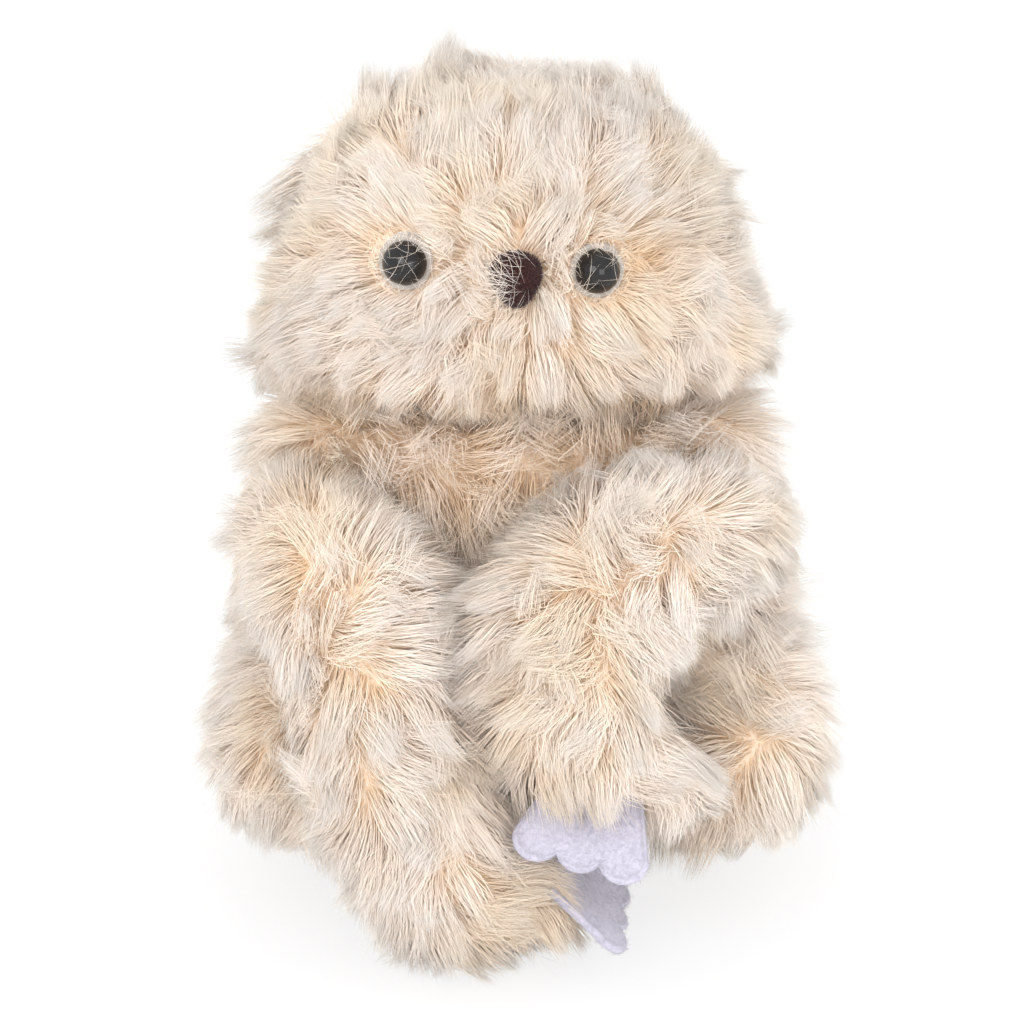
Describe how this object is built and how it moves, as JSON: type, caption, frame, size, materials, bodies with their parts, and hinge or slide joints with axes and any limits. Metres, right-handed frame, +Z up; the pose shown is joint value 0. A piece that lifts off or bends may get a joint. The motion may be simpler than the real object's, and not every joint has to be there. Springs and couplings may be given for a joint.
{
  "type": "sitting plush animal",
  "caption": "Sitting long-pile plush animal with domed eyes, a flocked nose, long arms folded in front of its belly and scalloped felt claws.",
  "frame": {"origin": "on the resting plane, on the flat of the seat under the middle of the body", "axes": "+Z up; the face looks towards -Y; +X is the toy's own left side"},
  "size_m": [0.138, 0.1383, 0.1791],
  "materials": {
    "fur_cloth": "long soft pile, cream with tan roots",
    "fibre_filling": "loose white fibre",
    "pellet_bag_cloth": "plain thin cloth",
    "eye_plastic": "polished black",
    "eye_ring": "pale satin",
    "washer_plastic": "natural moulded",
    "nose_flock": "short dark flock",
    "claw_felt": "pale lilac felt"
  },
  "bodies": {
    "body": {"body_cover": "fur_cloth", "body_stuffing": "fibre_filling", "seat_bean_bag": "pellet_bag_cloth"},
    "head": {"head_cover": "fur_cloth", "head_stuffing": "fibre_filling", "left_eye": "eye_plastic", "right_eye": "eye_plastic", "left_eye_ring": "eye_ring", "right_eye_ring": "eye_ring", "left_eye_washer": "washer_plastic", "right_eye_washer": "washer_plastic", "nose": "nose_flock", "nose_washer": "washer_plastic"},
    "left_arm": {"left_arm_cover": "fur_cloth", "left_arm_stuffing": "fibre_filling", "left_claw_felt": "claw_felt"},
    "right_arm": {"right_arm_cover": "fur_cloth", "right_arm_stuffing": "fibre_filling", "right_claw_felt": "claw_felt"},
    "left_leg": {"left_leg_cover": "fur_cloth", "left_leg_stuffing": "fibre_filling"},
    "right_leg": {"right_leg_cover": "fur_cloth", "right_leg_stuffing": "fibre_filling"}
  },
  "joints": [
    {"name": "head_turn", "type": "hinge", "parent": "body", "child": "head", "pos_m": [0, 0.002, 0.104], "axis": [0, 0, 1], "range_deg": [-25, 25]},
    {"name": "left_arm_swing", "type": "hinge", "parent": "body", "child": "left_arm", "pos_m": [0.048, -0.03, 0.08424], "axis": [0, 0, 1], "range_deg": [0, 30]},
    {"name": "right_arm_swing", "type": "hinge", "parent": "body", "child": "right_arm", "pos_m": [-0.048, -0.03, 0.08216], "axis": [0, 0, -1], "range_deg": [0, 30]},
    {"name": "left_leg_swing", "type": "hinge", "parent": "body", "child": "left_leg", "pos_m": [0.058, 0.012, 0.027], "axis": [0, 0, 1], "range_deg": [0, 15]},
    {"name": "right_leg_swing", "type": "hinge", "parent": "body", "child": "right_leg", "pos_m": [-0.058, 0.012, 0.027], "axis": [0, 0, -1], "range_deg": [0, 15]}
  ]
}
